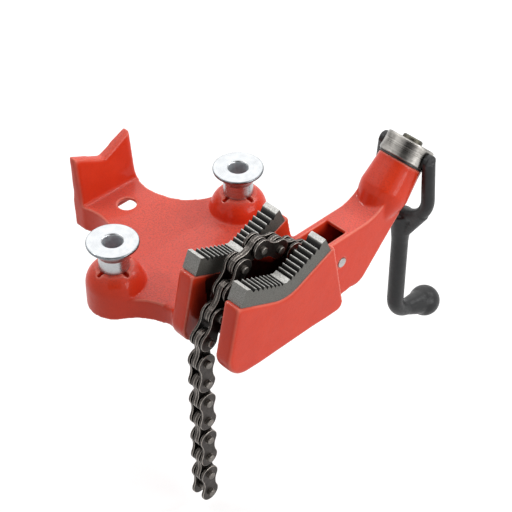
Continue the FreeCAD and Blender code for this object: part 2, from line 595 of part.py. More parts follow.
def make_handle():
    """Yoke, shank, elbow and ball knob, forged in one piece, hanging straight down from the nut."""
    ear_inner = "(nut_flat+side_gap)"
    parts, stubs = [], []
    for side in (-1, 1):
        base = nut_centre + Vector(0, side * worth(ear_inner), 0)
        outward = Vector(0, side, 0)
        parts.append(cylinder(f"ear_{side + 2}", "ear_radius", "ear_thick", base, outward))
        stubs.append(cylinder(f"stub_{side + 2}", "trunnion_radius", "trunnion_length+1",
                              base + outward, outward * -1))
        arm_top = nut_centre + Vector(0, side * worth(f"{ear_inner}+ear_thick/2"), 0)
        arm_foot = nut_centre + Vector(0, side * size.yoke_bow, -size.yoke_drop)
        arm = cylinder(f"yoke_arm_{side + 2}", "yoke_bar", "yoke_drop", arm_foot, arm_top - arm_foot)
        parts.append(arm)
    bow = bind(doc.addObject("Part::Torus", "yoke_bow_form"), Radius1="yoke_bow", Radius2="yoke_bar")
    bow.Angle3 = 180
    bow.Placement = Placement(nut_centre - Vector(0, 0, size.yoke_drop), Rotation(Vector(0, 1, 0), 90)
                              * Rotation(Vector(0, 0, 1), -90))
    neck = bind(doc.addObject("Part::Cone", "yoke_neck"), Radius1="shank_radius",
                Radius2="shank_radius+yoke_flare", Height="yoke_neck")
    neck.Placement.Base = nut_centre - Vector(0, 0, size.yoke_drop + size.yoke_bow + size.yoke_neck)
    shank_foot = nut_centre - Vector(0, 0, size.shank_drop)
    shank = cylinder("shank", "shank_radius", "shank_drop-yoke_drop-yoke_bow", shank_foot, Vector(0, 0, 1))
    elbow = bind(doc.addObject("Part::Torus", "elbow"), Radius1="elbow_radius", Radius2="shank_radius",
                 Angle3="elbow_turn")
    elbow.Placement = Placement(shank_foot + Vector(size.elbow_radius, 0, 0),
                                Rotation(Vector(1, 0, 0), Vector(0, 0, 1), Vector(0, -1, 0), "XYZ")
                                * Rotation(Vector(0, 0, 1), 180))
    turn = math.radians(size.elbow_turn)
    elbow_end = shank_foot + Vector(1 - math.cos(turn), 0, -math.sin(turn)) * size.elbow_radius
    out = Vector(math.sin(turn), 0, -math.cos(turn))
    knob = bind(doc.addObject("Part::Sphere", "knob"), Radius="knob_radius")
    knob.Placement.Base = elbow_end + out * size.knob_reach
    knob_neck = bind(doc.addObject("Part::Cone", "knob_neck"), Radius1="shank_radius",
                     Radius2="knob_radius*0.8", Height="knob_reach-knob_radius*0.5")
    knob_neck.Placement = Placement(elbow_end, Rotation(Vector(0, 0, 1), out))
    forged = doc.addObject("Part::MultiFuse", "forged_bar")
    forged.Shapes = parts + [bow, neck, shank, elbow, knob_neck, knob]
    between = cylinder("between_ears", "yoke_drop", f"2*{ear_inner}",
                       nut_centre - Vector(0, worth(ear_inner), 0), Vector(0, 1, 0))
    milled = doc.addObject("Part::Cut", "milled_yoke")
    milled.Base, milled.Tool = forged, between
    handle = doc.addObject("Part::MultiFuse", "crank_handle")
    handle.Label = "crank_handle"
    handle.Shapes = [milled] + stubs
    return handle


# ---------------------------------------------------------------- chain
def make_plate(label, thick, hole):
    """A chain plate: two round ends and a waist, along +X from the first pin's centre."""
    body = new_body(label)
    hollow = "((chain_pitch^2/4+chain_waist^2-chain_lobe^2)/(2*(chain_lobe-chain_waist)))"
    along = f"(chain_lobe*chain_pitch/2/(chain_lobe+{hollow}))"
    aside = f"(chain_lobe*(chain_waist+{hollow})/(chain_lobe+{hollow}))"
    outline = [(along, f"-{aside}", f"-{hollow}"), (f"chain_pitch-{along}", f"-{aside}", "chain_lobe"),
               ("chain_pitch+chain_lobe", "0", "chain_lobe"), (f"chain_pitch-{along}", aside, f"-{hollow}"),
               (along, aside, "chain_lobe"), ("-chain_lobe", "0", "chain_lobe")]
    pad(body, sketch(body, f"{label}_outline", "XZ_Plane", outline), thick)
    for count, place in enumerate(("0", "chain_pitch")):
        eye = circle(body, f"{label}_hole_{count}", "XZ_Plane", place, "0", hole, across=f"{thick}+1")
        pocket(body, eye, f"{thick}+2")
    return body


def link_shape(plate, offsets, pins):
    """Plates side by side at the offsets along Y, and the link's own pins."""
    solids = [plate.Shape.translated(Vector(0, offset, 0)) for offset in offsets]
    for place in pins:
        foot = Vector(place, -size.chain_pin_length / 2, 0)
        solids.append(Part.makeCylinder(size.chain_pin_radius, size.chain_pin_length, foot, Vector(0, 1, 0)))
    return Part.makeCompound(solids)


def make_chain():
    """Links from the screw to the free end. Odd ones have two outer plates and the pins."""
    outer = make_plate("outer_plate_form", "outer_plate", "chain_pin_radius")
    inner = make_plate("inner_plate_form", "inner_plate", "chain_pin_radius+running")
    doc.recompute()
    pitch_across = size.inner_plate + size.plate_gap
    stack = size.inner_plates * pitch_across - size.plate_gap
    inner_offsets = [stack / 2 - pitch_across * count for count in range(int(size.inner_plates))]
    outer_offsets = [size.chain_inside / 2 + size.outer_plate, -size.chain_inside / 2]
    links = []
    for count, (start, end) in enumerate(zip(chain_pins, chain_pins[1:]), start=1):
        link = doc.addObject("Part::Feature", f"chain_link_{count:02d}")
        link.Label = link.Name
        if count % 2:
            pins = [size.chain_pitch] if count == 1 else [0, size.chain_pitch]
            link.Shape = link_shape(outer, outer_offsets, pins)
        else:
            link.Shape = link_shape(inner, inner_offsets, [])
        link.Placement = Placement(start, Rotation(Vector(1, 0, 0), end - start))
        links.append(link)
    return links


# ---------------------------------------------------------------- build, check and write
nodes = [make_base(), make_spool("bender_left", -1), make_spool("bender_right", 1),
         make_jaw("jaw_rear", f"{BACK_OF_SLOT}-jaw_depth", f"{BACK_OF_SLOT}-jaw_depth/2"),
         make_jaw("jaw_front", FRONT_OF_SLOT, f"{FRONT_OF_SLOT}+jaw_depth/2"), make_jaw_pins(),
         make_fulcrum_pin(), make_washer(), make_nut(), make_screw(), make_anchor_pin(), make_handle()]
nodes += make_chain()
doc.recompute()

for obj in doc.Objects:
    broken = {"Invalid", "Error"} & set(obj.State)
    if broken:
        raise RuntimeError(f"{obj.Name} failed: {obj.State}")
for obj in doc.Objects:
    if obj.TypeId in ("PartDesign::Pocket", "PartDesign::Groove"):
        before, after = obj.BaseFeature.Shape.Volume, obj.Shape.Volume
        if after > before - 0.01:
            raise RuntimeError(f"{obj.Name} cuts nothing")
os.makedirs("parts", exist_ok=True)
for node in nodes:
    shape = node.Shape
    if shape.isNull() or not shape.isValid() or shape.Volume <= 0:
        raise RuntimeError(f"{node.Label} has no valid shape")
    shape.exportStep(f"parts/{node.Label}.step")
    print(f"{node.Label:16} {len(shape.Solids)} solids {shape.Volume / 1000:9.2f} cm3")
print("nodes", len(nodes))
for count, pin in enumerate(chain_pins):
    print(f"chain pin {count:2d}: {pin.x:8.2f} {pin.z:8.2f}")
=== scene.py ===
# %% [markdown]
# # A bench chain vise
#
# The object is a tool for holding pipe. A red cast-iron base is bolted near the edge of a bench. Pipe lies
# across two toothed jaws, a chain goes over it and hooks into claws, and a screw in the arm pulls the chain
# tight. The solids come from a CAD model, so every size and every place is already right. What is left for
# this lesson is what CAD leaves out: the soft edges of a casting, the wear on steel, and the finishes.

# %% Load the frame
import math

import bmesh
import bpy
import numpy
from mathutils import Matrix, Vector


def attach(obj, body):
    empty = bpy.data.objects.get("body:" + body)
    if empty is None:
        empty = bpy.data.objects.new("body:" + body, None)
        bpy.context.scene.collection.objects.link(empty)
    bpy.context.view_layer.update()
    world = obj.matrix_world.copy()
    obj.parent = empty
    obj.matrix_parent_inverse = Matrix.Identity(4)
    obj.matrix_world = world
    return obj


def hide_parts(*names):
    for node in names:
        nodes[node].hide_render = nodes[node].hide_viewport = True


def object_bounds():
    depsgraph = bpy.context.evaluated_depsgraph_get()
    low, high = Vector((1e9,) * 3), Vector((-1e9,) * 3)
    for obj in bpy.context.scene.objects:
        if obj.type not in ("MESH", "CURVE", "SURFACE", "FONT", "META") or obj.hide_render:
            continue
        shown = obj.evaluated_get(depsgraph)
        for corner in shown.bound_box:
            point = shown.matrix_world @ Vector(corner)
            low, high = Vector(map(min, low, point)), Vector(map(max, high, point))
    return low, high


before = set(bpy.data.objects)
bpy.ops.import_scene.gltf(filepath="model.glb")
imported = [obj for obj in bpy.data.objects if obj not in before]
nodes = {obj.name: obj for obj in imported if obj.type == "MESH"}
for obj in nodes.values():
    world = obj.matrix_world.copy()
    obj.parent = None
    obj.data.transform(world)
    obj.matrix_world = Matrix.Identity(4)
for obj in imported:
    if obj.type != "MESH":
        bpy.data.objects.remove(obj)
cad_low, cad_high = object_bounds()
MM = 0.001
print("solids loaded:", len(nodes), "size in mm:", [round(v / MM, 1) for v in cad_high - cad_low])

# %% [markdown]
# ## The camera
#
# A product photographer stands back and uses a long lens, so that parallel edges stay nearly parallel. The
# camera here is more than a metre from a tool of 28 cm. Its three directions are written out as a matrix:
# right, up, and away from what it looks at.

# %% Place the camera
AZIMUTH, ELEVATION = math.radians(44.18), math.radians(40.65)
CAMERA_PLACE = Vector((-566.0, -663.5, 752.7)) * MM
FOCAL_PIXELS, FRAME_PIXELS, SENSOR = 1557.88, 512, 36.0

looking = Vector((math.cos(ELEVATION) * math.sin(AZIMUTH), math.cos(ELEVATION) * math.cos(AZIMUTH),
                  -math.sin(ELEVATION)))
right = Vector((math.cos(AZIMUTH), -math.sin(AZIMUTH), 0))
up = right.cross(looking)
lens = bpy.data.cameras.new("long_lens")
lens.sensor_width = SENSOR
lens.lens = FOCAL_PIXELS * SENSOR / FRAME_PIXELS
camera = bpy.data.objects.new("camera", lens)
camera.matrix_world = Matrix.Translation(CAMERA_PLACE) @ Matrix((right, up, -looking)).transposed().to_4x4()
bpy.context.scene.collection.objects.link(camera)
bpy.context.scene.camera = camera
print("lens in mm:", round(lens.lens, 1))

# %% [markdown]
# ## Two small helpers for materials
#
# Paint makers and screens give colours as sRGB hex values, but light adds up in linear values. One function
# does the change. A second one adds any node at all: the kind, its settings, and what goes into its sockets,
# whether that is a plain value or another node's output.

# %% Colours and nodes
def linear(hex_colour):
    """The linear RGBA of an sRGB colour such as '#C8281C'."""
    parts = [int(hex_colour[k:k + 2], 16) / 255 for k in (1, 3, 5)]
    return [p / 12.92 if p <= 0.04045 else ((p + 0.055) / 1.055) ** 2.4 for p in parts] + [1.0]


def add(tree, kind, sockets=None, **settings):
    """Adds a shader node. Sockets go by name or number, and take a value or another node's output."""
    made = tree.nodes.new("ShaderNode" + kind)
    for name, value in settings.items():
        setattr(made, name, value)
    for socket, value in (sockets or {}).items():
        if isinstance(value, bpy.types.NodeSocket):
            tree.links.new(value, made.inputs[socket])
        else:
            made.inputs[socket].default_value = value
    return made


def new_material(name):
    """An empty material, its tree, and the place of a point on the piece in metres."""
    material = bpy.data.materials.new(name)
    material.use_nodes = True
    tree = material.node_tree
    tree.nodes.clear()
    return material, tree, add(tree, "TexCoord").outputs["Object"]


def stops(tree, value, *places):
    """Turns a value into colours: each place is (position, sRGB hex)."""
    ramp = add(tree, "ValToRGB", {"Fac": value})
    band = ramp.color_ramp
    while len(band.elements) < len(places):
        band.elements.new(0.5)
    for element, (position, colour) in zip(band.elements, places):
        element.position, element.color = position, linear(colour)
    return ramp.outputs["Color"]


def levels(tree, value, low, high, out_low, out_high):
    """Stretches the part of a value between low and high to out_low and out_high."""
    return add(tree, "MapRange", {"Value": value, "From Min": low, "From Max": high,
                                  "To Min": out_low, "To Max": out_high}).outputs["Result"]


def patches(tree, place, size_mm, detail=3.0, roughness=0.55, stretch=(1, 1, 1)):
    """Soft noise whose patches are about size_mm across."""
    scaled = add(tree, "Mapping", {"Vector": place, "Scale": stretch}).outputs["Vector"]
    return add(tree, "TexNoise", {"Vector": scaled, "Scale": 1 / (size_mm * MM), "Detail": detail,
                                  "Roughness": roughness}).outputs["Fac"]


def relief(tree, height, depth_mm, under=None):
    """A bump of depth_mm from a height between 0 and 1."""
    sockets = {"Height": height, "Strength": 1.0, "Distance": depth_mm * MM}
    if under:
        sockets["Normal"] = under
    return add(tree, "Bump", sockets).outputs["Normal"]


def finish_surface(tree, sockets):
    """The one shader of a material, joined to its output."""
    shader = add(tree, "BsdfPrincipled", sockets)
    add(tree, "OutputMaterial", {"Surface": shader.outputs["BSDF"]})


print("white is", linear("#FFFFFF")[0], "and middle grey", round(linear("#808080")[0], 3))

# %% [markdown]
# ## Red enamel on sand-cast iron
#
# The base is grey iron poured in sand, ground a little, and sprayed with thick glossy enamel. Sand leaves a
# grain of about a millimetre, and the enamel flows over it and softens it. The grain shows most where the
# mould lay flat, on top of the plate, and least on the drawn sides. To the eye that is a deep orange red
# with broad, finely broken highlights. What faces up is mixed towards pale pink, a painted sheen, and the
# outer edges are painted paler, a painted highlight. The slot that the chain runs through and the channel in
# the arm are painted a brown that is almost black, as painted shade. The mesh carries two numbers for this:
# one is 1 in the slot, where the shade is painted, and ridge is 1 on an outer edge.

# %% Red enamel
def red_enamel():
    material, tree, place = new_material("red_enamel_on_cast_iron")
    drift = patches(tree, place, 28, detail=4)
    clean = stops(tree, drift, (0.3, "#D5371C"), (0.7, "#DF3F20"))
    # Painted shade: where the slot weight is 1, the enamel turns a near-black brown.
    painted_slot_shade = add(tree, "Attribute", attribute_name="painted_slot_shade").outputs["Fac"]
    slot_shade_colour = stops(tree, patches(tree, place, 6, detail=4), (0.35, "#1E0B08"), (0.7, "#43150E"))
    facing_up = add(tree, "SeparateXYZ", {"Vector": add(tree, "NewGeometry").outputs["Normal"]}).outputs["Z"]
    grain = levels(tree, facing_up, 0.5, 0.95, 0.22, 1.0)
    sand = patches(tree, place, 1.15, detail=3, roughness=0.62)
    pits = add(tree, "Math", {0: levels(tree, sand, 0.36, 0.52, 0.7, 0.0), 1: grain}, operation="MULTIPLY")
    dust_in_pits = pits.outputs["Value"]
    pitted = add(tree, "Mix", {"Factor": dust_in_pits, 6: clean, 7: linear("#A82E20")}, data_type="RGBA")
    # Painted sheen: faces that point up are mixed towards pale pink, like a reflection of the bright sky.
    top_sheen = levels(tree, facing_up, 0.6, 1.0, 0.0, 0.10)
    with_top_sheen = add(tree, "Mix", {"Factor": top_sheen, 6: pitted.outputs[2], 7: linear("#E8B4AC")}, data_type="RGBA")
    # Painted highlight: points on outer edges, where ridge is high, are mixed towards pale pink.
    ridge = add(tree, "Attribute", attribute_name="ridge").outputs["Fac"]
    edge_highlight_amount = levels(tree, ridge, 0.0, 1.0, 0.0, 0.42)
    with_edge_highlight = add(tree, "Mix", {"Factor": edge_highlight_amount, 6: with_top_sheen.outputs[2], 7: linear("#F79E8A")},
                   data_type="RGBA")
    colour = add(tree, "Mix", {"Factor": painted_slot_shade, 6: with_edge_highlight.outputs[2], 7: slot_shade_colour}, data_type="RGBA")
    waves = patches(tree, place, 6.5, detail=2)
    height = add(tree, "Math", {0: sand, 1: grain}, operation="MULTIPLY").outputs["Value"]
    surface = relief(tree, height, 0.3, relief(tree, waves, 0.16))
    gloss = levels(tree, patches(tree, place, 11, detail=5), 0.3, 0.7, 0.32, 0.44)
    finish_surface(tree, {"Base Color": colour.outputs[2], "Roughness": gloss, "Normal": surface,
                          "Specular IOR Level": 0.14, "Coat Weight": 0.24, "Coat Roughness": 0.08})
    return material


enamel = red_enamel()
print("made", enamel.name)

# %% [markdown]
# ## Forged jaw steel
#
# The jaws are hardened steel with a dark phosphate skin. Pipe has rubbed the skin off wherever it touches:
# the crests of the teeth, the bottom of the V and the plain pads at both ends are a light grey. The gaps
# keep the dark skin and are painted nearly black, as painted shade, and the sides are the dull grey of a
# ground forging. The end faces are painted lighter than the sides, as painted light. One number on the mesh
# holds wear, painted light and painted shade: 0 at the bottom of a gap, 1 on what pipe can touch, 1.7 on the
# ends, and 2 on the sides. One row of colours runs over them all.

# %% Jaw steel
def jaw_steel():
    material, tree, place = new_material("phosphated_jaw_steel")
    wear_and_painted_light = levels(tree, add(tree, "Attribute", attribute_name="wear_and_painted_light").outputs["Fac"], 0, 2, 0, 1)
    # Painted shade and light: near black at 0 in the gaps, and lighter on the ends at 1.7 than on the sides
    # at 2.
    skin = stops(tree, wear_and_painted_light, (0.0, "#040404"), (0.3, "#1B1A19"), (0.42, "#6A6965"), (0.5, "#D6D5D2"),
                 (1.0, "#6C6B66"))
    smears = patches(tree, place, 3.2, detail=5, roughness=0.7)
    speckle = patches(tree, place, 0.7, detail=3, roughness=0.7)
    mottle = stops(tree, speckle, (0.35, "#B0B0AC"), (0.62, "#FFFFFF"))
    colour = add(tree, "Mix", {"Factor": 1.0, 6: skin, 7: mottle}, data_type="RGBA", blend_type="MULTIPLY")
    gloss = levels(tree, smears, 0.3, 0.7, 0.40, 0.56)
    finish_surface(tree, {"Base Color": colour.outputs[2], "Metallic": 0.35, "Roughness": gloss,
                          "Normal": relief(tree, speckle, 0.06)})
    return material


jaw_metal = jaw_steel()
print("made", jaw_metal.name)

# %% [markdown]
# ## Chain steel, in three states
#
# Chain plates are punched from strip and come out of the oil bath a brownish gunmetal. The punched edges are
# given a lighter steel, a painted highlight, and the riveted pins are a shade lighter than the plates. One
# function makes all three: what changes is the pair of greys and how rough the steel is.

# %% Chain steel
def chain_steel(name, dark, light, smooth, rough):
    material, tree, place = new_material(name)
    oil = patches(tree, place, 4.0, detail=5, roughness=0.65)
    colour = stops(tree, oil, (0.32, dark), (0.68, light))
    gloss = levels(tree, patches(tree, place, 1.6, detail=3), 0.3, 0.7, smooth, rough)
    finish_surface(tree, {"Base Color": colour, "Metallic": 0.9, "Roughness": gloss,
                          "Normal": relief(tree, patches(tree, place, 0.5), 0.02)})
    return material


plate_metal = chain_steel("gunmetal_chain_plate", "#302D2B", "#4C4744", 0.28, 0.44)
# Painted highlight: the lighter steel given to the bevels of the plates.
edge_highlight_metal = chain_steel("chain_edge_painted_highlight", "#8A847E", "#B8B1A9", 0.22, 0.34)
rivet_metal = chain_steel("riveted_chain_pin", "#5E5A56", "#8A857F", 0.26, 0.40)
print("made", plate_metal.name, edge_highlight_metal.name, rivet_metal.name)

# %% [markdown]
# ## Turned and plated steel
#
# The benders on the two front bolts are turned and then bright zinc plated, and the nut is turned and left
# bare. A lathe leaves rings round the axis, a few tenths of a millimetre apart, and they are what makes
# turned metal look turned. The rings are drawn by distance along the axis on round sides and by distance
# from it on flat ends. Each turned piece has its own origin and its own Z along its axis, so one function
# serves them all. Real feed marks are 0.1 to 0.2 mm apart, which is finer than the picture shows, so they
# are drawn about three times as coarse. The rim of a bender is given a smoother, darker zinc: a painted dark
# reflection along the rounded rim.

# %% Turned steel
def turned_steel(name, dark, light, smooth, rough, ring_mm, ring_depth_mm):
    material, tree, place = new_material(name)
    split = add(tree, "SeparateXYZ", {"Vector": place}).outputs
    flat = add(tree, "CombineXYZ", {"X": split["X"], "Y": split["Y"]}).outputs["Vector"]
    radius = add(tree, "VectorMath", {0: flat}, operation="LENGTH").outputs["Value"]
    along = add(tree, "Math", {0: radius, 1: split["Z"]}, operation="ADD").outputs["Value"]
    line = add(tree, "CombineXYZ", {"X": along}).outputs["Vector"]
    rings = add(tree, "TexNoise", {"Vector": line, "Scale": 1 / (ring_mm * MM),
                                   "Detail": 2.0}).outputs["Fac"]
    haze = patches(tree, place, 7, detail=4)
    tone = add(tree, "Math", {0: levels(tree, haze, 0.3, 0.7, 0.0, 0.6), 1: rings}, operation="ADD")
    colour = stops(tree, tone.outputs["Value"], (0.3, dark), (1.1, light))
    finish_surface(tree, {"Base Color": colour, "Metallic": 1.0,
                          "Roughness": levels(tree, rings, 0.3, 0.7, smooth, rough),
                          "Normal": relief(tree, rings, ring_depth_mm)})
    return material


zinc = turned_steel("bright_zinc_plate", "#A3A6A8", "#BABCBE", 0.24, 0.32, 0.6, 0.003)
nut_metal = turned_steel("turned_bare_steel", "#44413E", "#A8A5A0", 0.24, 0.36, 1.1, 0.06)
screw_metal = turned_steel("oiled_screw_steel", "#3C3B34", "#66645A", 0.36, 0.50, 0.8, 0.04)
washer_metal = turned_steel("oiled_washer_steel", "#2E2C2B", "#4A4846", 0.30, 0.46, 0.6, 0.02)
pin_metal = turned_steel("drawn_pin_steel", "#8C8B89", "#BDBCB9", 0.24, 0.36, 0.5, 0.02)
# Painted reflection: the darker zinc of the bender rims stands for the dark surroundings they would mirror.
rim_dark_reflection = turned_steel("zinc_rim_painted_reflection", "#54585B", "#8A8F93", 0.16, 0.24, 0.6, 0.002)
drilled = chain_steel("drilled_steel_bore", "#C4C9CD", "#E2E6E9", 0.45, 0.60)
print("made", zinc.name, rim_dark_reflection.name, nut_metal.name, screw_metal.name, washer_metal.name, pin_metal.name)

# %% [markdown]
# ## Black lacquer on a forging
#
# The handle is hammered steel, dipped in black lacquer and baked. The scale from the forge gives it shallow
# dimples a few millimetres across, and the lacquer is satin: dark, with long soft highlights down the bar.

# %% Black lacquer
def black_lacquer():
    material, tree, place = new_material("black_lacquer_on_forged_steel")
    dust = patches(tree, place, 9, detail=5)
    colour = stops(tree, dust, (0.35, "#0F1011"), (0.7, "#18191B"))
    dimples = patches(tree, place, 5, detail=2)
    scale = patches(tree, place, 0.8, detail=2)
    surface = relief(tree, scale, 0.03, relief(tree, dimples, 0.22))
    gloss = levels(tree, patches(tree, place, 2.5, detail=4), 0.3, 0.7, 0.34, 0.50)
    finish_surface(tree, {"Base Color": colour, "Roughness": gloss, "Normal": surface,
                          "Specular IOR Level": 0.38})
    return material


lacquer = black_lacquer()
print("made", lacquer.name)

# %% [markdown]
# ## From a CAD solid to a mesh that can be worked
#
# A CAD solid arrives as triangles, with the points doubled along every sharp edge. Before any modifier can
# round those edges, the doubles are joined and the triangles of each flat face are merged into one face.
# The CAD piece itself is never changed: a copy is worked on and takes its place.

# %% Copy a solid
def solid_copy(node, merge_flats=True):
    """A worked copy of a CAD node's mesh, as a bmesh with joined points."""
    shape = bmesh.new()
    shape.from_mesh(nodes[node].data)
    bmesh.ops.remove_doubles(shape, verts=shape.verts, dist=0.002 * MM)
    if merge_flats:
        bmesh.ops.dissolve_limit(shape, angle_limit=math.radians(0.5), verts=shape.verts, edges=shape.edges)
    return shape


def place_piece(name, shape, body, materials, stands_for, origin=Vector(), turn=Matrix.Identity(4)):
    """Makes an object of a bmesh, with its own origin and axes, and rides it on a body."""
    frame_of_piece = Matrix.Translation(origin) @ turn
    shape.transform(frame_of_piece.inverted())
    mesh = bpy.data.meshes.new(name)
    shape.to_mesh(mesh)
    shape.free()
    piece = bpy.data.objects.new(name, mesh)
    bpy.context.scene.collection.objects.link(piece)
    piece.matrix_world = frame_of_piece
    for material in materials:
        mesh.materials.append(material)
    mesh.polygons.foreach_set("use_smooth", [True] * len(mesh.polygons))
    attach(piece, body)
    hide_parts(*stands_for)
    return piece


def bevelled(piece, width_mm, segments=2, sharp_above=32, edge_material=None):
    """Breaks the sharp edges of a machined or punched piece."""
    bevel = piece.modifiers.new("broken_edges", "BEVEL")
    bevel.width, bevel.segments = width_mm * MM, segments
    bevel.limit_method, bevel.angle_limit = "ANGLE", math.radians(sharp_above)
    bevel.use_clamp_overlap = True
    bevel.harden_normals = False
    if edge_material is not None:
        bevel.material = edge_material
    even = piece.modifiers.new("even_normals", "WEIGHTED_NORMAL")
    even.keep_sharp = True
    return piece


print("copies merge flat faces within half a degree")

# %% [markdown]
# ## The cast base
#
# A casting has no sharp edge anywhere: the pattern is rounded so that it draws out of the sand, and iron
# won't fill a sharp corner. Bevelling so many crossing edges one by one is fragile. Instead the whole solid
# is rebuilt as an even skin of small squares, and that skin is relaxed: every point moves a little towards
# the middle of its neighbours. Flat faces stay flat, and every edge and every inside corner becomes round,
# by more where more passes are made.

# %% Rebuild and relax
def cast_skin(node, name, material, body, squares_mm, passes, more_passes=0, more_where=None, bars=()):
    """A CAD node rebuilt in small squares, with rounded edges. Each bar (start, end, radii) is taken in."""
    shape = solid_copy(node, merge_flats=False)
    for start, end, wide, narrow in bars:
        turn = (end - start).to_track_quat("Z", "Y").to_matrix().to_4x4()
        bmesh.ops.create_cone(shape, cap_ends=True, segments=24, radius1=wide * MM, radius2=narrow * MM,
                              depth=(end - start).length * MM,
                              matrix=Matrix.Translation((start + end) / 2 * MM) @ turn)
    piece = place_piece(name, shape, body, [material], [node])
    skin = piece.modifiers.new("even_squares", "REMESH")
    skin.mode, skin.voxel_size, skin.use_smooth_shade = "VOXEL", squares_mm * MM, True
    relax = piece.modifiers.new("relax", "SMOOTH")
    relax.factor, relax.iterations = 0.5, passes
    settled(piece)
    if more_where:
        chosen = piece.vertex_groups.new(name="rounder")
        for point in piece.data.vertices:
            weight = more_where(point.co / MM)
            if weight > 0.01:
                chosen.add([point.index], weight, "REPLACE")
        again = piece.modifiers.new("relax_more", "SMOOTH")
        again.factor, again.iterations, again.vertex_group = 0.5, more_passes, "rounder"
        settled(piece)
    print(name, "has", len(piece.data.polygons), "faces")
    return piece


def settled(piece):
    """Applies what the modifiers of a piece make, and keeps that as its mesh."""
    bpy.context.view_layer.update()
    graph = bpy.context.evaluated_depsgraph_get()
    made = bpy.data.meshes.new_from_object(piece.evaluated_get(graph))
    piece.modifiers.clear()
    piece.data = made
    made.polygons.foreach_set("use_smooth", [True] * len(made.polygons))


BOLT_LINE, LOBE_RADIUS, PLATE_THICK, PLATE_REAR, REST_FOOT = 60.35, 21.5, 18.0, 21.8, 77.0
SLOT_MIDDLE, SLOT_HALF_WIDTH, CLAW_TIP, WINDOW_END = -82.1, 15.9, -50.0, 80.0
WALL_LEFT, WALL_RIGHT, WALL_OUTER = -34.0, 40.0, 40.0
CHANNEL_HALF_WIDTH, ARM_TOP = 9.5, 37.0


def within(value):
    """A weight kept between 0 and 1."""
    return max(0.0, min(1.0, value))


def rounder(point):
    """Weight of the extra rounding: the foot of each boss, the whole rest, and the outside of the walls."""
    if point.y > REST_FOOT - 8:
        return within((point.z - PLATE_REAR - 1) / 8)
    beside = abs(point.y - SLOT_MIDDLE) - SLOT_HALF_WIDTH
    if point.y < SLOT_MIDDLE + WALL_OUTER and point.x < WALL_RIGHT:
        at_left = within((WALL_LEFT + 6 - point.x) / 6)
        at_side = within((beside - 2) / 6) * 0.5 * within((WALL_RIGHT - point.x) / 14)
        return at_left * within((beside + 1) / 3) + (1 - at_left) * at_side
    reach = min(math.hypot(point.x - side * BOLT_LINE, point.y) for side in (-1, 1))
    near_foot = within(1 - abs(reach - LOBE_RADIUS) / 7) * 0.4
    return near_foot if PLATE_THICK - 4 < point.z < PLATE_THICK + 8 else 0.0


def painted_slot_shade(point):
    """Weight of the painted shade: 1 in the chain's slot and channel, fading at the claws and under the
    jaws.
    """
    aside = point.y - SLOT_MIDDLE
    if point.x > WALL_RIGHT:
        return float(abs(aside) < CHANNEL_HALF_WIDTH) * within((WINDOW_END - point.x) / 8) * \
            within((ARM_TOP - 5 - point.z) / 10)
    top = 50 - 22 * within(point.x / 30)
    spread = float(aside < SLOT_HALF_WIDTH)
    if point.x < WALL_LEFT:
        spread = within(0.5 - (aside - SLOT_HALF_WIDTH) / 4)
    return spread * float(aside > -SLOT_HALF_WIDTH) * within((point.x - CLAW_TIP) / 10) * \
        within((top - point.z) / 6)


def ridges(mesh, full_mm=0.051, rounds=3):
    """How much each point stands out from the middle of its neighbours: 1 at full_mm or more."""
    places, outward = numpy.empty(len(mesh.vertices) * 3), numpy.empty(len(mesh.vertices) * 3)
    ends = numpy.empty(len(mesh.edges) * 2, dtype=int)
    mesh.vertices.foreach_get("co", places)
    mesh.vertices.foreach_get("normal", outward)
    mesh.edges.foreach_get("vertices", ends)
    places, outward, ends = places.reshape(-1, 3), outward.reshape(-1, 3), ends.reshape(-1, 2)
    pairs = numpy.concatenate([ends, ends[:, ::-1]])
    count = numpy.bincount(pairs[:, 0], minlength=len(places))

    def middle(values):
        return numpy.bincount(pairs[:, 0], values[pairs[:, 1]], minlength=len(places)) / count

    inward = numpy.stack([middle(places[:, axis]) for axis in range(3)], axis=1) - places
    height = -(inward * outward).sum(axis=1) / MM
    for _ in range(rounds):
        height = (height + middle(height)) / 2
    return numpy.clip((height / full_mm - 0.4) / 0.6, 0, 1)


base = cast_skin("base_casting", "cast_base", enamel, "base", 0.8, 10, 60, rounder)
# The ridge weight places the painted highlight on the base's outer edges.
outer = ridges(base.data)
edges = base.data.attributes.new("ridge", "FLOAT", "POINT")
edges.data.foreach_set("value", outer)
print("points on outer edges:", int((outer > 0.5).sum()))
# Painted shade for the slot and the arm's channel, one weight per point.
slot_shade_layer = base.data.attributes.new("painted_slot_shade", "FLOAT", "POINT")
slot_shade_layer.data.foreach_set("value", [painted_slot_shade(vertex.co / MM) for vertex in base.data.vertices])

# %% [markdown]
# ## The crank handle
#
# The handle was drawn in CAD as a bar, a bow, two eyes and a knob that simply run into each other. On the
# forging they flow together. The same even skin, relaxed a little longer, gives that flow. The bow comes
# down to the shank in two slanting shoulders, and each goes in as a short tapered bar before the skin is
# rebuilt.

# %% Forge the handle
BOW_CENTRE = Vector((153.4, -82.1, 32.4))
shoulders = [(BOW_CENTRE + Vector((0, side * 20, -14.4)), BOW_CENTRE + Vector((0, side * 3, -44.4)),
              5.2, 3.4) for side in (-1, 1)]
handle = cast_skin("crank_handle", "forged_handle", lacquer, "handle", 0.7, 16, bars=shoulders)

# %% [markdown]
# ## The jaws
#
# The jaws keep their crisp teeth, so they are bevelled and not relaxed. Each corner of the mesh is given a
# number for wear and painted light and shade, from how deep it lies under the plane of the tooth crests.

# %% Jaws and their wear
JAW_VEE, JAW_SLOPE = 50.0, math.radians(23.8)
CREST_DEPTH = 0.4


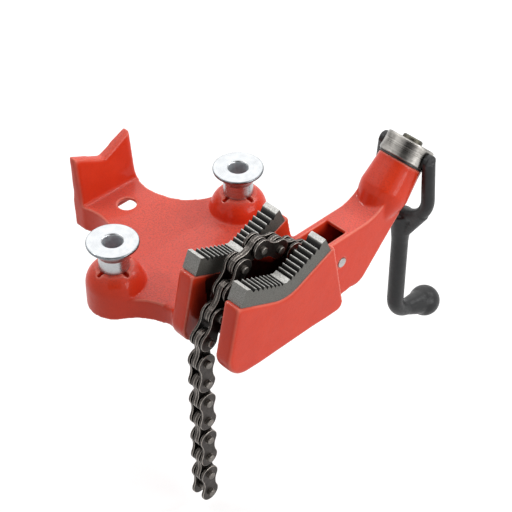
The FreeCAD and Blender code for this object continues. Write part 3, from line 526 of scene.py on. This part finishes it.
def depth_below_crests(point):
    """How far a point of a jaw lies under the V of the tooth crests, in mm."""
    crest = JAW_VEE + abs(point.x / MM) * math.tan(JAW_SLOPE)
    return (crest - point.z / MM) * math.cos(JAW_SLOPE)


def mark_wear_and_painted_light(shape):
    """Writes wear and painted light: 0 in the gaps (painted shade), 1 on crests and pads, 1.7 on the ends
    (painted light), 2 on the sides.
    """
    wear_and_painted_light = shape.loops.layers.float.new("wear_and_painted_light")
    far = max(abs(vertex.co.x) for vertex in shape.verts) - 6 * MM
    for face in shape.faces:
        end = abs(face.normal.x) > 0.9 and abs(face.calc_center_median().x) > far
        side = abs(face.normal.y) > 0.5 or abs(face.normal.z) < 0.14
        for corner in face.loops:
            crest = depth_below_crests(corner.vert.co) < CREST_DEPTH
            # 0 in the gaps gives painted shade, and 1.7 on the ends gives painted light.
            corner[wear_and_painted_light] = 1.7 if end else 2.0 if side else float(crest)


for node, name in (("jaw_front", "jaw_near_edge"), ("jaw_rear", "jaw_far_edge")):
    shape = solid_copy(node)
    mark_wear_and_painted_light(shape)
    jaw = bevelled(place_piece(name, shape, "base", [jaw_metal], [node]), 0.14)
    print(name, "has", len(jaw.data.polygons), "faces before its bevel")

# %% [markdown]
# ## The chain
#
# Every link is a small stack of punched plates, and every second link also carries the two riveted pins.
# All plates get the same treatment: a fine bevel, whose faces take a lighter steel as a painted highlight. A
# pin is told from a plate by its width, and its ends get a larger bevel, like the dome of a rivet.

# %% Split a link into plates and pins
PIN_WIDTH_MM = 10.0


def loose_parts(shape):
    """The separate solids of a bmesh, as lists of faces."""
    left, parts = set(shape.faces), []
    while left:
        first = left.pop()
        part, edge = [first], [first]
        while edge:
            around = {f for e in edge.pop().edges for f in e.link_faces if f in left}
            left -= around
            part += around
            edge += around
        parts.append(part)
    return parts


def width_of(part):
    """Width of a part across the chain, in mm."""
    across = [v.co.y for face in part for v in face.verts]
    return (max(across) - min(across)) / MM


def keep_only(node, wanted):
    """A copy of a node with only its pins, or only its plates. None if there are none."""
    shape = solid_copy(node)
    unwanted = [face for part in loose_parts(shape) if (width_of(part) > PIN_WIDTH_MM) != (wanted == "pins")
                for face in part]
    bmesh.ops.delete(shape, geom=unwanted, context="FACES")
    if not shape.faces:
        shape.free()
        return None
    return shape


# %% Dress the links
LINKS = 19
for number in range(1, LINKS + 1):
    node, body = f"chain_link_{number:02d}", f"link_{number:02d}"
    plates = place_piece(f"plates_{number:02d}", keep_only(node, "plates"), body,
                         [plate_metal, edge_highlight_metal], [node])
    # The bevel faces take the painted highlight steel in slot 1.
    bevelled(plates, 0.32, 2, 40, 1)
    pins = keep_only(node, "pins")
    if pins:
        rivets = place_piece(f"rivets_{number:02d}", pins, body, [rivet_metal, edge_highlight_metal], [node])
        bevelled(rivets, 0.8, 3, 40)
print("links dressed:", LINKS)

# %% [markdown]
# ## Turned pieces
#
# The benders stand upright on the two front bolts. The nut, its washer and the screw share the tilted axis
# of the barrel. Each is copied with an origin on its own axis, so that the rings of the lathe run round it.

# %% Benders, nut, washer and screw
NUT_CENTRE = Vector((153.4, -82.1, 66.9)) * MM
SCREW_TILT = math.radians(42.7)
BOLT_RADIUS, RIM_RADIUS, RIM_FOOT = 7.3 * MM, 18.3 * MM, 53.5 * MM
along_screw, upright = Matrix.Rotation(SCREW_TILT, 4, "Y"), Matrix.Identity(4)
turned = [
    ("bender_left", "bender_a", "base", "zinc", zinc, Vector((-BOLT_LINE, 0, 0)) * MM, upright, 0.45),
    ("bender_right", "bender_b", "base", "zinc", zinc, Vector((BOLT_LINE, 0, 0)) * MM, upright, 0.45),
    ("nut", "turned_nut", "nut", "turned", nut_metal, NUT_CENTRE, along_screw, 0.5),
    ("thrust_washer", "washer", "base", "washer", washer_metal, NUT_CENTRE, along_screw, 0.25),
    ("draw_screw", "screw", "screw", "screw", screw_metal, NUT_CENTRE, along_screw, 0.6),
]
for node, name, body, slot, material, origin, turn, edge in turned:
    finishes = [material, drilled, rim_dark_reflection]
    piece = place_piece(name, solid_copy(node), body, finishes, [node], origin, turn)
    for face in piece.data.polygons if slot == "zinc" else []:
        from_axis = [piece.data.vertices[index].co.xy.length for index in face.vertices]
        # The rim faces take the painted dark reflection.
        rim = min(from_axis) > RIM_RADIUS and face.center.z > RIM_FOOT
        face.material_index = 1 if max(from_axis) < BOLT_RADIUS else 2 if rim else 0
    bevelled(piece, edge, 3)
    print(name, "turned about", [round(v / MM, 1) for v in origin])

# %% [markdown]
# ## Pins
#
# The pin under which the chain turns, the pins that hold the jaws, and the pin of the screw's eye are drawn
# steel rod, cut and faced. They run across the vise, so their own Z is laid along Y.

# %% Pins
across = Matrix.Rotation(math.radians(90), 4, "X")
for node, body, origin in (("fulcrum_pin", "base", Vector((72.7, -82.1, 14.3)) * MM),
                           ("anchor_pin", "screw", Vector((103.05, -82.1, 12.34)) * MM),
                           ("jaw_pins", "base", Vector((0, -82.1, 0)) * MM)):
    pin = place_piece("steel_" + node, solid_copy(node), body, [pin_metal], [node], origin, across)
    bevelled(pin, 0.35, 2)
print("pins laid across the vise")

# %% [markdown]
# ## Floor, light and background
#
# The vise hangs free, as it would from the edge of a bench, over a white sheet. The sheet is half paint and
# half glow to the camera, so it reads as white paper and still keeps a soft shadow. A broad lamp behind the
# vise puts a sheen on everything that faces up, and a second one in front of it lights the front wall. A
# small lamp from the side shapes the barrel and the knob, and two narrow ones draw bright lines along the
# rounded edges. Their power is kept low, so that a colour renders about as it is written.

# %% Paper and world
def looked_at(tree):
    """1 for what the camera sees itself, in a mirror or through glass, and 0 for what only lights things."""
    rays = add(tree, "LightPath").outputs
    seen = add(tree, "Math", {0: rays["Is Camera Ray"], 1: rays["Is Glossy Ray"]}, operation="MAXIMUM")
    return add(tree, "Math", {0: seen.outputs["Value"], 1: rays["Is Transmission Ray"]},
               operation="MAXIMUM").outputs["Value"]


FLOOR_HEIGHT = cad_low.z - 12 * MM
bpy.ops.mesh.primitive_plane_add(size=9, location=(0, 0, FLOOR_HEIGHT))
paper = bpy.context.active_object
paper.name = "white_paper"
material, tree, place = new_material("white_paper_sweep")
fibre = patches(tree, place, 1.2, detail=2)
matte = add(tree, "BsdfPrincipled", {"Base Color": stops(tree, fibre, (0.0, "#B9B9B9"), (1.0, "#BDBDBD")),
                                     "Roughness": 0.9, "Specular IOR Level": 0.1})
glow = add(tree, "Emission", {"Color": linear("#FFFFFF"), "Strength": 0.62})
none = add(tree, "Emission", {"Strength": 0.0})
shown = add(tree, "MixShader", {0: looked_at(tree), 1: none.outputs["Emission"],
                                2: glow.outputs["Emission"]})
both = add(tree, "AddShader", {0: matte.outputs["BSDF"], 1: shown.outputs["Shader"]})
add(tree, "OutputMaterial", {"Surface": both.outputs["Shader"]})
paper.data.materials.append(material)

world = bpy.data.worlds.new("studio")
bpy.context.scene.world = world
world.use_nodes = True
sky = world.node_tree
sky.nodes.clear()
strength = levels(sky, looked_at(sky), 0, 1, 0.48, 1.0)
background = add(sky, "Background", {"Color": linear("#FFFFFF"), "Strength": strength})
add(sky, "OutputWorld", {"Surface": background.outputs["Background"]})
print("floor at", round(FLOOR_HEIGHT / MM, 1), "mm")

# %% Lamps
def lamp(name, place, aim, size, power):
    """A square soft lamp at a place, turned towards a point. Places are in metres."""
    light = bpy.data.lights.new(name, "AREA")
    light.shape, light.size, light.energy = "SQUARE", size, power
    made = bpy.data.objects.new(name, light)
    made.location = place
    made.rotation_euler = (Vector(aim) - Vector(place)).to_track_quat("-Z", "Y").to_euler()
    bpy.context.scene.collection.objects.link(made)
    return made


lamp("back_softbox", (0.55, 0.7, 1.1), (0.03, -0.05, 0.02), 1.9, 12.5)
lamp("front_softbox", (0.35, -1.4, 0.5), (0.03, -0.05, 0.0), 0.8, 9)
lamp("side_strip", (1.1, -0.55, 0.75), (0.1, -0.08, 0.0), 0.4, 3)
lamp("edge_strip", (-0.35, 0.65, 1.0), (0.0, -0.03, 0.03), 0.2, 2.4)
lamp("shoulder_strip", (0.7, -0.45, 1.05), (0.05, -0.05, 0.03), 0.2, 1.8)

bpy.ops.mesh.primitive_plane_add(size=1, location=-looking * 1.75)
card = bpy.context.active_object
card.name = "black_card"
card.scale = (1.5, 1.3, 1)
card.rotation_euler = looking.to_track_quat("-Z", "Y").to_euler()
material, tree, place = new_material("black_felt_card")
finish_surface(tree, {"Base Color": linear("#0B0B0B"), "Roughness": 0.95, "Specular IOR Level": 0.1})
card.data.materials.append(material)
print("five lamps and a black card")

# %% [markdown]
# ## The colours of the picture
#
# The picture is shown with no film look, so that colours stay as they were written.

# %% Finish
bpy.context.scene.view_settings.view_transform = "Standard"
